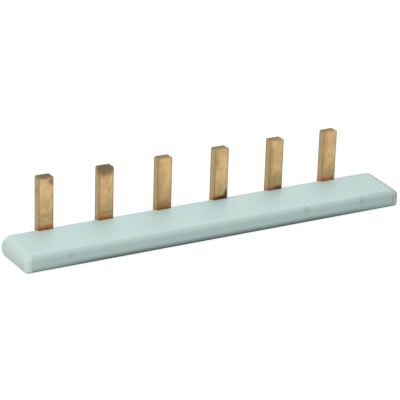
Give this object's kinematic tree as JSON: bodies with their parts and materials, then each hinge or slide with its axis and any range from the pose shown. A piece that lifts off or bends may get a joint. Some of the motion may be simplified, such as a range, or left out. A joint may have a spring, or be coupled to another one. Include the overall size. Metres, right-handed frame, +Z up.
{
  "type": "comb busbar",
  "caption": "Single-pole comb busbar: a flat insulated bar with closed ends and a row of bare copper blades that stand up along its rear edge to join circuit breakers.",
  "frame": {"origin": "middle of the underside of the whole bar", "axes": "+X runs along the bar, +Y points to the rear edge that carries the blades, +Z points up along the blades"},
  "size_m": [0.1162, 0.0156, 0.0207],
  "materials": {
    "housing": "satin grey-blue extruded insulation, slightly soiled",
    "copper_comb": "tarnished bare copper, browner at the foot of each blade",
    "end_cap": "satin pale grey moulding"
  },
  "bodies": {
    "root": {"housing": "housing", "copper_comb": "copper_comb", "end_cap_left": "end_cap", "end_cap_right": "end_cap"}
  },
  "joints": []
}
